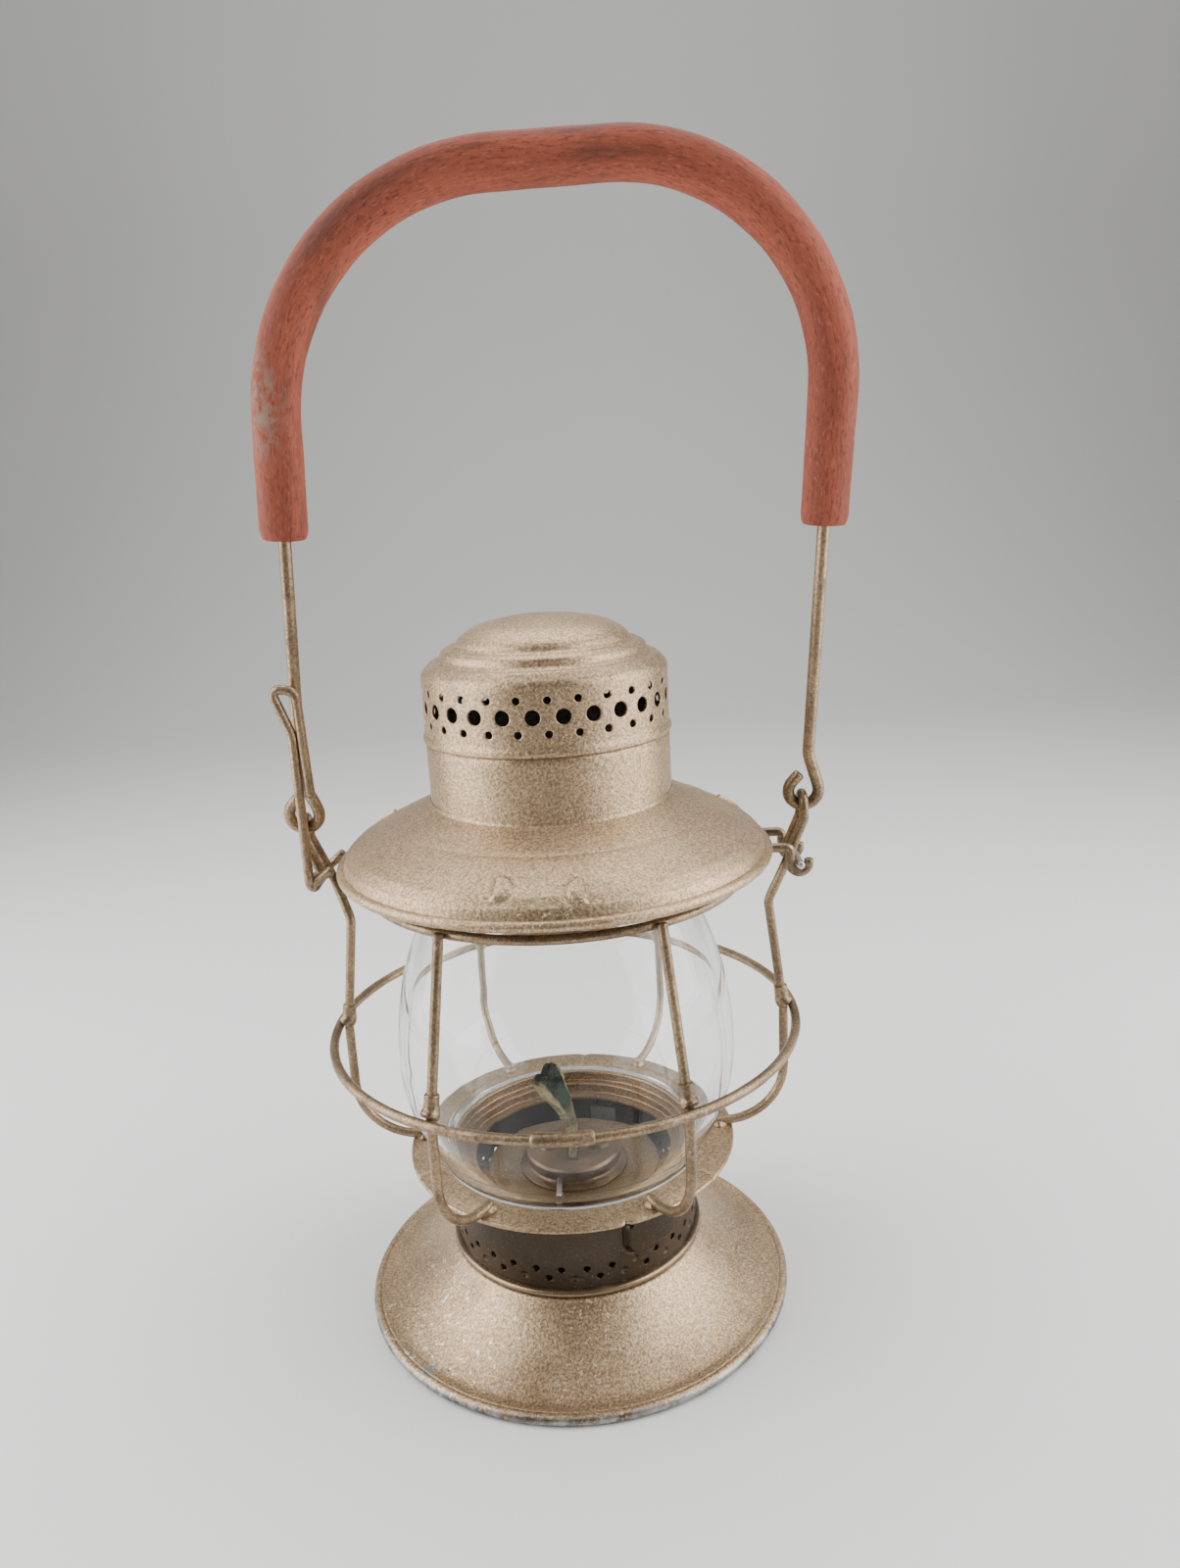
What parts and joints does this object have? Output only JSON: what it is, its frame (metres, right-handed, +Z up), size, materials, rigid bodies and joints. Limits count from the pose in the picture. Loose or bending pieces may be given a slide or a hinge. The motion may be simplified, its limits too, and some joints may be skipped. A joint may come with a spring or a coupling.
{
  "type": "oil hand lantern",
  "caption": "Oil hand lantern: round glass globe in a wire guard on a bell base, hinged lid with a vented chimney, flat-wick burner and a swinging bail with a rubber hose grip.",
  "frame": {"origin": "on the lantern's axis, at the level of the standing rim", "axes": "+Z up; +X towards the lid's hinge, -X towards the latch, -Y towards the front"},
  "size_m": [0.1662, 0.1439, 0.3328],
  "materials": {
    "bronze_paint": "dull metallic bronze paint over tinplate, worn to bare metal at the edges",
    "wire_paint": "metallic bronze paint on steel wire, with brown stains and bare patches",
    "bare_steel": "bare steel, lightly tarnished",
    "fount_tin": "plain dull tinplate",
    "burner_brass": "tarnished brass under thin grey paint",
    "globe_glass": "clear glass with a faint film of dust",
    "hose_rubber": "chalky brick-red rubber hose with darker streaks",
    "wick_cotton": "flat woven cotton, dark, with pale frayed edges"
  },
  "bodies": {
    "base": {"bell_base": "bronze_paint", "bayonet_collar": "fount_tin", "fount_tank": "fount_tin", "fount_collar": "burner_brass", "burner_body": "burner_brass", "burner_cap": "burner_brass", "wick_tube": "burner_brass"},
    "spindle": {"wick_spindle": "bare_steel", "wick_sprockets": "bare_steel"},
    "wick": {"wick": "wick_cotton"},
    "cage": {"neck_drum": "bronze_paint", "gallery_ring": "bronze_paint", "globe": "globe_glass", "guard_ring": "wire_paint", "ring_joint": "wire_paint", "guard_upright_rear_right": "wire_paint", "guard_upright_rear_left": "wire_paint", "guard_upright_front_left": "wire_paint", "guard_upright_front_right": "wire_paint", "right_ear_upright": "wire_paint", "left_ear_upright": "wire_paint", "guard_clips": "wire_paint", "guard_top_ring": "wire_paint", "hinge_pin": "bare_steel", "latch_sleeve": "wire_paint"},
    "lid": {"hood_brim": "bronze_paint", "chimney_drum": "bronze_paint", "vented_cap": "bronze_paint", "globe_seat_ring": "fount_tin", "hinge_hooks": "wire_paint"},
    "latch": {"latch_wire": "wire_paint"},
    "bail": {"bail": "wire_paint", "grip": "hose_rubber"}
  },
  "joints": [
    {"name": "base_twist", "type": "hinge", "parent": "base", "child": "cage", "pos_m": [0, 0, 0.03], "axis": [0, 0, 1], "range_deg": [0, 16]},
    {"name": "lid_hinge", "type": "hinge", "parent": "cage", "child": "lid", "pos_m": [0.0714, 0, 0.139], "axis": [0, 1, 0], "range_deg": [0, 30]},
    {"name": "latch_release", "type": "hinge", "parent": "cage", "child": "latch", "pos_m": [-0.07209, 0, 0.1382], "axis": [0, -1, 0], "range_deg": [0, 15], "stiffness_Nm_per_rad": 0.05, "springref_deg": -11.46},
    {"name": "bail_swing", "type": "hinge", "parent": "cage", "child": "bail", "pos_m": [0, 0, 0.1545], "axis": [-1, 0, 0], "range_deg": [0, 116]},
    {"name": "wick_raiser_turn", "type": "hinge", "parent": "base", "child": "spindle", "pos_m": [-0.0042, 0, 0.04095], "axis": [0, 1, 0], "range_deg": [-130, 130]},
    {"name": "wick_slide", "type": "slide", "parent": "base", "child": "wick", "axis": [0, 0, 1], "range_m": [-0.0058, 0.0058]}
  ],
  "couplings": [
    {"joint": "wick_raiser_turn", "follows": "wick_slide", "rad_per_m": -384.62}
  ]
}
